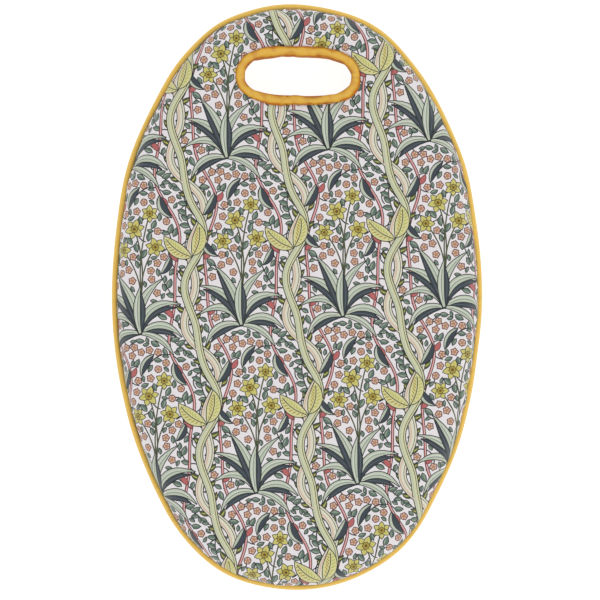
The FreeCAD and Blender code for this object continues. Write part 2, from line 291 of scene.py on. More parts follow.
class Field:
    """Movements of scattered points of the flat cloth, smoothed so that they can be read anywhere."""

    def __init__(self, flat, move):
        self.low = flat.min(0) - 5 * FIELD_PITCH
        cells = np.rint((flat - self.low) / FIELD_PITCH).astype(int)
        total = np.zeros((*(cells.max(0) + 6), 4))
        np.add.at(total, tuple(cells.T), np.c_[move, np.ones(len(move))])
        kernel = np.exp(-(np.arange(-4, 5) * FIELD_PITCH / FIELD_BLUR) ** 2)
        for axis in (0, 1):
            total = np.apply_along_axis(np.convolve, axis, total, kernel, "same")
        self.grid = total[..., :3] / np.maximum(total[..., 3:], 1e-6)

    def at(self, flat):
        """The movement there, by a smooth blend of the nine nearest cells."""
        place = (flat - self.low) / FIELD_PITCH
        near = np.rint(place).astype(int)
        apart = place - near
        weight = [(0.5 - apart) ** 2 / 2, 0.75 - apart**2, (0.5 + apart) ** 2 / 2]
        move = np.zeros((len(flat), 3))
        for i in range(3):
            for j in range(3):
                cell = self.grid[near[:, 0] + i - 1, near[:, 1] + j - 1]
                move += (weight[i][:, 0] * weight[j][:, 1])[:, None] * cell
        return move


# ------------------------------------------------------------------ the cover's cloth
class Roll:
    """How a panel rolls from its flat face down to the seam: a curve of inset and height."""

    def __init__(self, width, level, face, belly, shoulder):
        self.inset = PIPING_WIDTH + width
        middle = level + (face - level) * 0.27
        self.bends = np.array([
            (SEAM_INSET, level), (belly, middle),
            (shoulder, face + (level - face) * 0.02), (self.inset, face),
        ])
        line = self.curve(np.linspace(0, 1, 200), 0.0)
        self.steps = np.r_[0, np.cumsum(np.hypot(*np.diff(line, axis=0).T))]
        self.length = self.steps[-1]
        self.surplus = self.length - self.inset     # cloth beyond the plan outline when flat

    def curve(self, share, swell):
        """Inset and height at a share of the way from the seam, where the belly swells out."""
        share, swell = np.asarray(share)[..., None], np.asarray(swell)[..., None]
        start, belly, shoulder, finish = self.bends
        belly = belly - swell * [1.0, 0.0]
        shoulder = shoulder - swell * [0.5, 0.0]
        back = 1 - share
        return (back**3 * start + 3 * back**2 * share * belly
                + 3 * back * share**2 * shoulder + share**3 * finish)

    def share(self, cloth):
        """The share of the curve at a length of cloth from the seam."""
        return np.interp(cloth, self.steps, np.linspace(0, 1, 200))


TOP_SEAM = SEAM_LEVEL + 0.6
BASE_SEAM = SEAM_LEVEL - 0.6
TOP_SIDE = Roll(TOP_ROLL, TOP_SEAM, TOP - SWELLING, belly=3.9, shoulder=4.8)
BASE_SIDE = Roll(BASE_ROLL, BASE_SEAM, 0.0, belly=4.2, shoulder=4.8)


def seam_swell(along):
    """How far the cover bulges out over the piping: least at the left, most at right and foot."""
    _, normal = EDGE.at(along)
    return 1.1 + normal @ [0.75, -0.5] + 0.35 * ring_ripple(along, EDGE.length, 30, 160, 5)


PUCKER = 0.16               # how far the gathers beside the seam go in and out
UNEVEN = 0.45               # how far the printed face wanders up and down
FLANK_DROP = 0.7            # how much lower the printed face is beside the roll than in the middle


def drape(flat, roll, up, settled=None):
    """Places the flat cloth of a panel in space. up is 1 for the top panel and -1 for the base.

    settled is the Field of the simulation's movements, which fade out at the panel's two seams.
    """
    along, outside = EDGE.locate(flat)
    inset = -outside
    placed = np.c_[flat, np.full(len(flat), roll.bends[-1][1])]
    rolled = inset < roll.inset
    cloth = np.clip(inset + roll.surplus, 0, roll.length)
    curve = roll.curve(roll.share(cloth[rolled]), seam_swell(along[rolled]))
    plan, _ = EDGE.at(along[rolled], -curve[:, 0])
    placed[rolled] = np.c_[plan, curve[:, 1]]
    # Small puckers where the seam draws the cloth in, and a slow unevenness over the face.
    pucker = ring_ripple(along, EDGE.length, 14, 48, 11 + up) * np.exp(-((cloth - 8.0) / 5.0) ** 2)
    _, normal = EDGE.at(along)
    placed[:, :2] += normal * (PUCKER * pucker)[:, None]
    face = ease(4, 40, inset)
    if up > 0:
        uneven = UNEVEN * face * plane_ripple(flat, 45, 120, 21)
        placed[:, 2] += uneven - FLANK_DROP * (1 - ease(0, 60, inset))
    # The dip to the binding round the hand slot: a quarter of an ellipse, steep at the binding.
    _, beyond = SLOT.locate(flat)
    across = np.clip((BINDING_REACH - 0.3 + DISH_ROLL - beyond) / DISH_ROLL, 0, 1)
    placed[:, 2] -= up * DISH_DEPTH * (1 - np.sqrt(np.clip(1 - across**2, 0, 1)))
    if settled is not None:
        loose = ease(0, 8, cloth) * ease(0, 12, beyond - HOLE_MARGIN)
        placed += settled.at(flat) * loose[:, None]
    return placed


def panel_rows(roll, spacing):
    """Rings of points over the rolled edge, so that the mesh bends evenly there."""
    cloth = np.arange(spacing, roll.length, spacing)
    return [EDGE.moved(roll.surplus - length, 3.4) for length in cloth]


CUT_GAP = 2e-3              # points nearer than this become one
BORDER_STEP = 2.4           # point spacing along a panel's outer border
HOLE_STEP = 2.0             # and round its hole


def face_grid(roll, grid, from_roll, from_hole):
    """Grid points on a panel's flat face, clear of the rolled edge and of the hole."""
    across = np.arange(-HALF_WIDTH, HALF_WIDTH, grid)
    along = np.arange(-HALF_LENGTH, HALF_LENGTH, grid)
    inner = np.stack(np.meshgrid(across, along), -1).reshape(-1, 2)
    inner = inner[-EDGE.locate(inner)[1] > roll.inset + from_roll]
    return inner[SLOT.locate(inner)[1] > HOLE_MARGIN + from_hole]


def loose_points(roll, grid, edge_spacing):
    """Points that let a panel bend: a grid over the face, and rings over the rolled edge."""
    return np.vstack([face_grid(roll, grid, grid / 2, 0.5), *panel_rows(roll, edge_spacing)])


def triangulate(points, edges, faces, gap=CUT_GAP):
    """Blender's triangulation of flat points, which keeps the edges and the outlines of the faces."""
    return delaunay_2d_cdt([Vector(p) for p in points.tolist()], edges, faces, 0, gap, True)


def clockwise(flat, faces):
    a, b, c = (flat[faces[:, i]] for i in range(3))
    return (b[:, 0] - a[:, 0]) * (c[:, 1] - a[:, 1]) < (b[:, 1] - a[:, 1]) * (c[:, 0] - a[:, 0])


def anticlockwise(flat, faces):
    return np.where(clockwise(flat, faces)[:, None], faces[:, ::-1], faces)


def face_edges(faces):
    """Every triangle's three edges, each from its lower to its higher vertex."""
    return np.sort(np.concatenate([faces[:, [0, 1]], faces[:, [1, 2]], faces[:, [2, 0]]]), 1)


def fill_flat(roll, shapes, loose):
    """Triangles over the flat panel, cut along every shape. Each has the last shape it lies in."""
    border = EDGE.moved(roll.surplus, BORDER_STEP)
    hole = SLOT.moved(HOLE_MARGIN, HOLE_STEP)
    polygons = [border, hole, *shapes]
    points = np.vstack([*polygons, loose])
    ends = np.cumsum([len(p) for p in polygons])
    faces = [list(range(end - len(p), end)) for p, end in zip(polygons, ends)]
    found = triangulate(points, [], faces)
    vertices, triangles, owners = found[0], found[2], found[5]
    kept = [(t, max(o)) for t, o in zip(triangles, owners) if 0 in o and 1 not in o and len(t) == 3]
    owner = np.array([o for _, o in kept]) - 2
    used, faces = np.unique(np.array([t for t, _ in kept]), return_inverse=True)
    flat = np.array([vertices[i] for i in used])
    return flat, anticlockwise(flat, faces.reshape(-1, 3)), owner


def colour_lines(faces, tone):
    """The edges between triangles of different tones, and the edges along the borders."""
    edges = face_edges(faces)
    tones = np.tile(tone, 3)
    order = np.lexsort(edges.T)
    edges, tones = edges[order], tones[order]
    again = (edges[1:] == edges[:-1]).all(1)
    alike = again & (tones[1:] == tones[:-1])
    single = ~np.r_[again, False] & ~np.r_[False, again]
    shown = np.r_[again & ~alike, False]
    return edges[shown], edges[single]


def closed_loops(edges):
    """Follows edges round, where each point has two, into loops of points."""
    beside = {}
    for a, b in edges.tolist():
        beside.setdefault(a, []).append(b)
        beside.setdefault(b, []).append(a)
    loops = []
    while beside:
        point, loop = next(iter(beside)), []
        while point is not None:
            loop.append(point)
            point = next((n for n in beside.pop(point) if n in beside), None)
        loops.append(loop)
    return loops


def thinned(flat, edges, longest, slack):
    """Leaves out points within slack of a straight line between their neighbours, in rounds."""
    for _ in range(6):
        ends = np.vstack([edges, edges[:, ::-1]])
        ends = ends[np.argsort(ends[:, 0], kind="stable")]
        vertex, start, uses = np.unique(ends[:, 0], return_index=True, return_counts=True)
        start = start[uses == 2]
        middle, a, b = vertex[uses == 2], ends[start, 1], ends[start + 1, 1]
        span, aside = flat[b] - flat[a], flat[middle] - flat[a]
        reach = np.hypot(*span.T)
        off = np.abs(span[:, 0] * aside[:, 1] - span[:, 1] * aside[:, 0]) / np.maximum(reach, 1e-9)
        spare = (off < slack) & (reach < longest[middle]) & (reach > 0.05)
        rank = np.full(len(flat), np.inf)
        rank[middle[spare]] = off[spare] + 1e-6 * (middle[spare] * 0.618 % 1)
        gone = spare & (rank[middle] < rank[a]) & (rank[middle] < rank[b])
        left = ~np.isin(edges, middle[gone]).any(1)
        edges = np.unique(np.sort(np.vstack([edges[left], np.c_[a[gone], b[gone]]]), 1), axis=0)
    return edges


def lighten(roll, flat, faces, tone, loose):
    """The same print on fewer triangles: only the lines where its colour changes are kept."""
    near_bend = (-EDGE.locate(flat)[1] < roll.inset + 2) | (SLOT.locate(flat)[1] < BINDING_REACH + DISH_ROLL)
    longest = np.where(near_bend, LINE_STEP_BENT, LINE_STEP)
    edges, border = colour_lines(faces, tone)
    longest[border] = 0.0
    edges = thinned(flat, edges, longest, LINE_SLACK)
    loops = sorted(closed_loops(border), key=lambda loop: -np.ptp(flat[loop][:, 1]))
    used = np.union1d(edges, border)
    loops = [np.searchsorted(used, loop).tolist() for loop in loops]
    found = triangulate(np.vstack([flat[used], loose]), np.searchsorted(used, edges).tolist(), loops)
    spots = np.array([tuple(v) for v in found[0]])
    triangles = np.array([t for t, o in zip(found[2], found[5]) if 0 in o and 1 not in o])
    tree = BVHTree.FromPolygons(np.c_[flat, np.zeros(len(flat))].tolist(), faces.tolist())
    origin = [tree.find_nearest((x, y, 0.0))[2] for x, y in spots[triangles].mean(1).tolist()]
    used, triangles = np.unique(triangles, return_inverse=True)
    spots = spots[used]
    return spots, anticlockwise(spots, triangles.reshape(-1, 3)), tone[origin]


LINE_SLACK = 0.1            # how far a printed line may move when it is thinned out
LINE_STEP = 6.0             # the longest stretch between its points, on the face
LINE_STEP_BENT = 2.2        # and where the cloth bends
PANEL_CLING = 0.1           # how firmly the covers cling to the foam
PANEL_SLACK = 0.006
PUFF = 2.0                  # how far the top panel may swell
BASE_PUFF = 0.02            # and the base panel, which lies on the ground
SINK = 0.5                  # how far a panel may sink
PANEL_SPREAD = 1.0          # how far a panel's points may move sideways


SETTLE_GRID = 5.0           # point spacing of the simulated sheet, on the face
SETTLE_RINGS = 4.0          # and over the rolled edge


def settle(roll, up):
    """Simulates a panel on a coarse mesh, sewn at the piping and at the hand slot."""
    flat, faces, _ = fill_flat(roll, [], loose_points(roll, SETTLE_GRID, SETTLE_RINGS))
    if up < 0:
        faces = faces[:, ::-1]
    from_seam = roll.surplus - EDGE.locate(flat)[1]
    from_hole = SLOT.locate(flat)[1] - HOLE_MARGIN
    sewn = np.minimum(from_seam, from_hole) < 0.5
    held = np.where(sewn, 1.0, PANEL_CLING)
    move = simulate(drape(flat, roll, up), faces, held, SIM_PRESSURE, PANEL_SLACK)
    move[:, :2] = capped(move[:, :2], PANEL_SPREAD)
    outward = move[:, 2] * up
    puff = PUFF if up > 0 else BASE_PUFF
    move[:, 2] = up * np.where(outward > 0, capped(outward, puff), capped(outward, SINK))
    return Field(flat, move)


# ------------------------------------------------------------------ the print
REPEAT_WIDTH = 72.0
REPEAT_HEIGHT = 119.0
PRINT_TURN = 5.0            # degrees
PRINT_SCALE = np.array([-1.07, 1.07])   # the cloth shows the design the other way round, a little larger
PRINT_SHIFT = np.array([19.0, -31.0])
LINE_WIDTH = 0.62

GROUND = (232, 227, 229)
INK = (48, 52, 54)
SLATE_GREEN = (98, 118, 106)
PALE_SLATE = (146, 160, 144)
DARK_SLATE = (66, 74, 82)
MID_SLATE = (96, 106, 110)
SAGE = (188, 196, 178)
PALE_SAGE = (212, 218, 204)
CREAM = (220, 217, 196)
LIME = (208, 209, 170)
OLIVE = (82, 88, 64)
YELLOW = (204, 196, 116)
PALE_YELLOW = (212, 208, 152)
FLECK = (186, 186, 96)
OCHRE = (170, 150, 66)
BROWN = (98, 82, 50)
RUST = (176, 126, 108)
DARK_RUST = (88, 62, 60)
PALE_RUST = (214, 186, 168)
ROSE = (184, 104, 104)
BLUSH = (226, 192, 190)


def linear(colour):
    """Linear RGBA of an sRGB colour given in 0 to 255."""
    share = np.array(colour) / 255
    light = np.where(share <= 0.04045, share / 12.92, ((share + 0.055) / 1.055) ** 2.4)
    return (*light.tolist(), 1.0)


def bend(start, end, bow, share):
    """Points along a bowed line, and their normals to the left."""
    start, end = np.array(start, float), np.array(end, float)
    run = end - start
    side = np.array([-run[1], run[0]]) / np.hypot(*run)
    line = start + run * share[:, None] + side * (4 * bow * share * (1 - share))[:, None]
    ahead = run + side * (4 * bow * (1 - 2 * share))[:, None]
    ahead /= np.linalg.norm(ahead, axis=1)[:, None]
    return line, np.c_[-ahead[:, 1], ahead[:, 0]]


def ribbon(line, normals, half_width):
    half = np.broadcast_to(half_width, len(line))[:, None]
    return np.vstack([line - normals * half, (line + normals * half)[::-1]])


def leaf(base, tip, width, bow=0.0, count=7, fullness=0.9):
    """A leaf pointed at both ends."""
    share = np.linspace(0, 1, count)
    line, normals = bend(base, tip, bow, share)
    half = width / 2 * np.sin(np.pi * share**fullness) ** 0.8
    return np.vstack([(line - normals * half[:, None]), (line + normals * half[:, None])[1:-1][::-1]])


def strap(base, tip, width, bow, count=11, foot=0.35):
    """A long leaf that starts narrow, widens and runs out to a point."""
    share = np.linspace(0, 1, count)
    line, normals = bend(base, tip, bow, share)
    half = width / 2 * (foot + (1 - foot) * np.sin(np.pi * share**1.1)) * (1 - share**6)
    half[-1] = 0.02
    return ribbon(line, normals, half)


def disc(centre, radius, count=10, lobes=0, depth=0.0, turn=0.0):
    around = np.arange(count) * 2 * np.pi / count
    reach = radius * (1 + depth * np.cos(lobes * (around - turn)))
    return np.array(centre) + np.c_[reach * np.cos(around), reach * np.sin(around)]


def grown(shape, margin):
    """The shape with a margin all round, which shows as its outline."""
    ahead = np.roll(shape, -1, 0) - shape
    ahead /= np.maximum(np.hypot(*ahead.T), 1e-9)[:, None]
    if np.cross(shape, np.roll(shape, -1, 0)).sum() < 0:
        ahead = -ahead
    out = np.c_[ahead[:, 1], -ahead[:, 0]]
    out = out + np.roll(out, 1, 0)
    out /= np.maximum((out**2).sum(1), 0.9)[:, None] / 2
    return shape + out * margin


class Design:
    """One repeat of the print: shapes with their colours, in layers from the ground up."""

    def __init__(self):
        self.layers = [[] for _ in range(7)]

    def fill(self, layer, shape, colour):
        self.layers[layer].append((shape, colour))

    def inked(self, layer, shape, colour, line=LINE_WIDTH, ink=INK):
        self.fill(layer, grown(shape, line), ink)
        self.fill(layer, shape, colour)


TWIGS, SPRIGS, STEMS, BANDS, STRAPS, LEAVES, FLOWERS = range(7)


VINE_PLACE = 14             # across the repeat


def vine_line(offset, height, sway=7.0, second=1.6, phase=0.0):
    """The winding line that the bands follow, moved sideways, at heights in the repeat."""
    turn = 2 * np.pi * height / REPEAT_HEIGHT
    twice = 2 * turn + 0.8 + phase
    line = np.c_[VINE_PLACE + offset + sway * np.sin(turn + phase) + second * np.sin(twice), height]
    slope = (sway * np.cos(turn + phase) + 2 * second * np.cos(twice)) * 2 * np.pi / REPEAT_HEIGHT
    normals = np.c_[-np.ones(len(height)), slope]
    return line, normals / np.linalg.norm(normals, axis=1)[:, None]


def draw_band(design, twist, half_width, colour, core):
    """A stem over the whole repeat that winds about the vine's line, lined along edges and middle."""
    height = np.linspace(0, REPEAT_HEIGHT, 49)
    line, normals = vine_line(0.0, height)
    line = line + normals * (twist * np.sin(4 * np.pi * height / REPEAT_HEIGHT))[:, None]
    ahead = np.gradient(line, axis=0)
    ahead[[0, -1]] = (ahead[0] + ahead[-1]) / 2
    normals = np.c_[-ahead[:, 1], ahead[:, 0]] / np.linalg.norm(ahead, axis=1)[:, None]
    design.fill(BANDS, ribbon(line, normals, half_width + LINE_WIDTH), INK)
    design.fill(BANDS, ribbon(line, normals, half_width), colour)
    design.fill(BANDS, ribbon(line - normals * half_width * 0.55, normals, half_width * 0.2), core)
    design.fill(BANDS, ribbon(line + normals * half_width * 0.5, normals, 0.2), INK)


def draw_vine(design):
    """Two stems that twist about each other, with olive leaves along both sides."""
    draw = np.random.default_rng(3)
    for number, height in enumerate(np.arange(2.0, REPEAT_HEIGHT, REPEAT_HEIGHT / 20)):
        line, normals = vine_line(0.0, np.array([height]))
        side = 1 if number % 2 else -1
        ahead = np.array([normals[0, 1], -normals[0, 0]])
        base = line[0] + side * normals[0] * 1.5
        tip = base + side * normals[0] * draw.uniform(6.0, 7.5) + ahead * draw.uniform(4.5, 6.5)
        design.inked(BANDS, leaf(base, tip, 3.6, 0.7 * side, 7), OLIVE, 0.45)
        design.fill(BANDS, leaf(base + ahead, tip - ahead, 0.9, 0.9 * side, 5), FLECK)
    draw_band(design, -4.0, 2.6, CREAM, PALE_RUST)
    draw_band(design, 4.0, 2.3, LIME, SAGE)


def draw_stems(design):
    """Thin rosy stems that wind loosely about the vine, with a few small buds."""
    height = np.linspace(0, REPEAT_HEIGHT, 37)
    for offset, phase in ((15.0, 0.9), (-12.0, -0.7)):
        line, normals = vine_line(offset, height, 6.0, 2.2, phase)
        design.fill(STEMS, ribbon(line, normals, 1.15), INK)
        design.fill(STEMS, ribbon(line, normals, 0.7), ROSE)
        design.fill(STEMS, ribbon(line + normals * 0.15, normals, 0.26), BLUSH)
        for index in (7, 19, 31):
            tip = line[index] + [4.6 * np.sign(offset), 6.0]
            design.inked(STEMS, leaf(line[index], tip, 3.4, 0.5, 6), ROSE, 0.5, DARK_RUST)


def draw_big_leaf(design, base, tip, width, bow):
    """A broad yellow leaf with a midrib and slanting veins."""
    design.inked(LEAVES, leaf(base, tip, width, bow, 12), PALE_YELLOW, 0.6)
    for share in np.arange(0.12, 0.86, 0.1):
        spine, normals = bend(base, tip, bow, np.array([share]))
        ahead = np.array([normals[0, 1], -normals[0, 0]])
        reach = width * 0.4 * math.sin(math.pi * share**0.9)
        for side in (-1, 1):
            start = spine[0] + side * normals[0] * 0.6
            end = spine[0] + side * normals[0] * reach + ahead * reach * 0.75
            design.fill(LEAVES, leaf(start, end, 0.95, 0.0, 4), FLECK if side > 0 else OCHRE)
    share = np.linspace(0.02, 0.9, 8)
    spine, normals = bend(base, tip, bow, share)
    design.fill(LEAVES, ribbon(spine, normals, 0.3), INK)


def draw_leaf_pair(design, x, y):
    draw_big_leaf(design, (x, y), (x - 6, y + 22), 9.5, 2.6)
    draw_big_leaf(design, (x + 1, y - 1), (x + 19, y + 15), 9.5, -2.4)


def draw_strap(design, base, tip, width, bow, backed=True):
    """A strap leaf with a pale stripe, and often another leaf's dark underside beside it."""
    base, tip = np.array(base, float), np.array(tip, float)
    lean = np.sign(bow)
    run = (tip - base) / np.hypot(*(tip - base))
    if backed:
        design.inked(STRAPS, strap(base, tip - run * 4.0, width, bow - lean * 3.6), DARK_SLATE)
        vein, normals = bend(base, tip - run * 4.0, bow - lean * 4.4, np.linspace(0.25, 0.85, 6))
        design.fill(STRAPS, ribbon(vein, normals, 0.2), MID_SLATE)
    design.inked(STRAPS, strap(base, tip, width, bow), SAGE)
    spine, normals = bend(base, tip, bow, np.linspace(0.12, 0.8, 7))
    design.fill(STRAPS, ribbon(spine + normals * 0.7 * lean, normals, 0.3), PALE_SAGE)
    design.fill(STRAPS, ribbon(spine - normals * 0.3 * lean, normals, 0.17), MID_SLATE)


def draw_straps(design):
    """A tuft of strap leaves that arch over from one foot, and loose dark leaves near by."""
    foot = (56.0, 14.0)
    for tip, width, bow, backed in (
        ((82, 2), 4.2, 6.5, True), ((27, 9), 4.6, -7.0, True), ((85, 24), 4.6, 8.5, False),
        ((34, -3), 4.0, -4.0, False), ((26, 32), 5.0, -9.5, True), ((83, 44), 4.8, 8.0, True),
        ((37, 51), 5.2, -7.0, False), ((71, 57), 4.8, 4.5, True), ((53, 47), 4.4, -2.5, True),
    ):
        draw_strap(design, foot, tip, width, bow, backed)
    for base, tip, width, bow in (
        ((34, 110), (27, 94), 6.0, 2.0), ((67, 108), (76, 94), 5.6, -1.8), ((48, 117), (58, 103), 5.0, 1.6),
        ((78, 76), (69, 64), 5.0, 1.6), ((30, 66), (37, 55), 4.6, -1.4),
    ):
        design.inked(STRAPS, leaf(base, tip, width, bow, 9), DARK_SLATE)
        design.inked(STRAPS, leaf(base, tip, width * 0.34, bow + width * 0.34, 9), SAGE, 0.35)


def draw_flower(design, x, y, size, turn):
    """A six-petalled yellow flower with an ochre eye."""
    for petal in (0, 2, 4, 1, 3, 5):
        heading = turn + petal * math.pi / 3
        away = np.array([math.cos(heading), math.sin(heading)])
        middle = np.array([x, y])
        outline = leaf(middle + away * 0.8, middle + away * size, size * 0.6, 0.0, 7, 0.75)
        design.inked(FLOWERS, outline, YELLOW, 0.5)
        design.fill(FLOWERS, leaf(middle + away * 1.4, middle + away * size * 0.62, 0.7, 0.0, 4), OCHRE)
    design.inked(FLOWERS, disc((x, y), size * 0.33, 12, 6, 0.09, turn), OCHRE, 0.4)
    design.fill(FLOWERS, disc((x, y), size * 0.15, 8), BROWN)


def draw_flowers(design):
    for x, y, size, turn in ((40, 74, 6.6, 0.3), (54, 88, 7.0, 0.9), (64, 74, 6.2, 0.1), (42, 98, 6.0, 0.6)):
        stalk = bend((53, 40), (x, y), 3.0 * np.sign(x - 50), np.linspace(0, 1, 8))
        design.fill(STEMS, ribbon(*stalk, 0.5), OLIVE)
        draw_flower(design, x, y, size, turn)


def covered(shape, places):
    """Which places lie inside a shape."""
    inside = np.zeros(len(places), bool)
    for start, end in zip(shape, np.roll(shape, -1, 0)):
        crosses = (start[1] > places[:, 1]) != (end[1] > places[:, 1])
        rise = end[1] - start[1]
        reach = start[0] + (places[:, 1] - start[1]) * (end[0] - start[0]) / (rise if rise else 1.0)
        inside ^= crosses & (places[:, 0] < reach)
    return inside


REPEAT = np.array([REPEAT_WIDTH, REPEAT_HEIGHT])


def torus_gap(places, centre):
    """Distances within a repeat whose opposite edges meet."""
    apart = np.abs(places - centre) % REPEAT
    return np.hypot(*np.minimum(apart, REPEAT - apart).T)


class Room:
    """How far each place of the repeat is from what is drawn, so that small motifs keep apart."""

    def __init__(self, design):
        across, up = np.arange(0.5, REPEAT_WIDTH), np.arange(0.5, REPEAT_HEIGHT)
        self.places = np.stack(np.meshgrid(across, up), -1).reshape(-1, 2)
        taken = np.zeros(len(self.places), bool)
        for shape, _ in (drawn for layer in design.layers[STEMS:] for drawn in layer):
            for shift in ((x, y) for x in (-1, 0, 1) for y in (-1, 0, 1)):
                moved = shape + REPEAT * shift
                if (moved.max(0) > 0).all() and (moved.min(0) < REPEAT).all():
                    taken |= covered(moved, self.places)
        self.free = np.full(len(self.places), 99.0)
        for centre in self.places[taken]:
            self.take(centre, 0.0)

    def take(self, place, radius):
        self.free = np.minimum(self.free, torus_gap(self.places, place) - radius)

    def at(self, place):
        column, row = np.floor(np.mod(place, REPEAT)).astype(int).tolist()
        return self.free[row * int(REPEAT_WIDTH) + column]


def try_blossom(design, room, place, turn):
    """A five-lobed blossom, if there is room for it."""
    if room.at(place) < 2.7:
        return
    room.take(place, 2.8)
    size = 2.3
    design.inked(SPRIGS, disc(place, size, 10, 5, 0.14, turn), RUST, 0.5, DARK_RUST)
    for lobe in range(5):
        heading = turn + lobe * 2 * math.pi / 5
        petal = place + np.array([math.cos(heading), math.sin(heading)]) * size * 0.68
        design.fill(SPRIGS, disc(petal, size * 0.32, 4), PALE_RUST)
    design.fill(SPRIGS, disc(place, size * 0.24, 5), OCHRE)


def try_leaf(design, room, base, heading, size):
    """A small two-toned leaf, if there is room for it."""
    along = np.array([math.cos(heading), math.sin(heading)])
    side = np.array([-along[1], along[0]])
    spots = [base + along * size * share for share in (0.3, 0.55, 0.8)]
    if min(room.at(spot) for spot in spots) < size * 0.28:
        return
    for spot in spots:
        room.take(spot, size * 0.25)
    tip = base + along * size
    design.inked(SPRIGS, leaf(base, tip, size * 0.52, 0.3, 6), SLATE_GREEN, 0.5)
    design.fill(SPRIGS, leaf(base + side * 0.1, tip - along * 0.7, size * 0.17, -size * 0.09, 4), PALE_SLATE)


def draw_spray(design, room, start, heading, curl, length, draw):
    """A curling twig with leaves to both sides and blossoms between and at its end."""
    step = 1.5
    line = [np.array(start, float)]
    headings = heading + curl * np.arange(round(length / step)) * (1 + 0.04 * np.arange(round(length / step)))
    for turn in headings:
        line.append(line[-1] + step * np.array([math.cos(turn), math.sin(turn)]))
    line = np.array(line)
    ahead = np.gradient(line, axis=0)
    normals = np.c_[-ahead[:, 1], ahead[:, 0]] / np.linalg.norm(ahead, axis=1)[:, None]
    design.fill(TWIGS, ribbon(line[::2], normals[::2], 0.42), INK)
    try_blossom(design, room, line[-1], headings[-1])
    for index, (place, turn) in enumerate(zip(line[2:-1:3], headings[2::3])):
        side = 1 if index % 2 else -1
        if draw.random() < 0.22:
            sideways = np.array([-math.sin(turn), math.cos(turn)]) * side
            try_blossom(design, room, place + sideways * 3.2, turn)
        else:
            try_leaf(design, room, place, turn + side * draw.uniform(0.6, 1.1), draw.uniform(5.6, 7.2))
            try_leaf(design, room, place, turn - side * draw.uniform(0.5, 1.0), draw.uniform(4.6, 6.0))


FREE_SPRAYS = [             # place in the repeat, heading and curl of the sprays between the bands
    (50, 112, 2.4, 0.08), (44, 96, -0.4, -0.1), (60, 96, 0.2, 0.14), (36, 70, 2.8, -0.12),
    (64, 4, 0.6, 0.1), (40, 2, 2.6, -0.1), (52, 80, -1.0, 0.12), (70, 72, -0.6, -0.1),
]


def draw_sprigs(design):
    """Sprays from the bands and the stems, and small leaves and blossoms in the gaps left."""
    draw = np.random.default_rng(8)
    room = Room(design)
    for number, height in enumerate(np.arange(3.0, REPEAT_HEIGHT, 6.6)):
        line, _ = vine_line(0.0, np.array([height]))
        side = 1 if number % 2 else -1
        heading = math.pi / 2 - side * draw.uniform(0.5, 1.2)
        curl = side * draw.uniform(-0.09, 0.13)
        draw_spray(design, room, line[0], heading, curl, draw.uniform(26, 44), draw)
    for x, y, heading, curl in FREE_SPRAYS:
        draw_spray(design, room, (x, y), heading, curl, 26.0, draw)
    order = draw.permutation(len(room.places))
    for index in order[: len(order) // 3]:
        if room.free[index] > 3.1:
            try_blossom(design, room, room.places[index], draw.uniform(0, 6))
    for size in (6.2, 5.0, 3.9):
        for index in order:
            if room.free[index] > size * 0.31:
                heading = draw.uniform(0, 2 * math.pi)
                try_leaf(design, room, room.places[index], heading, size)


def printed_shapes():
    """The whole print: every repeat that the panel needs, as shapes, their tones and the palette."""
    design = Design()
    draw_stems(design)
    draw_vine(design)
    draw_straps(design)
    draw_leaf_pair(design, 14, 66)
    draw_flowers(design)
    draw_sprigs(design)
    turn = math.radians(PRINT_TURN)
    rotation = np.array([[math.cos(turn), math.sin(turn)], [-math.sin(turn), math.cos(turn)]])
    shapes, colours = [], []
    for layer in design.layers:
        for column in range(-4, 4):
            for row in range(-4, 4):
                for shape, colour in layer:
                    # A shape turned the other way round is listed backwards, to stay anticlockwise.
                    placed = ((shape + REPEAT * [column, row]) * PRINT_SCALE)[::-1] @ rotation + PRINT_SHIFT
                    middle = placed.mean(0) / [HALF_WIDTH + 12, HALF_LENGTH + 12]
                    if len(shape) > 40 or np.hypot(*middle) < 1.06:
                        shapes.append(placed)
                        colours.append(colour)
    palette = [GROUND, *sorted(set(colours) - {GROUND})]
    tones = np.array([palette.index(colour) for colour in colours])
    return shapes, tones, np.array([linear(colour) for colour in palette])


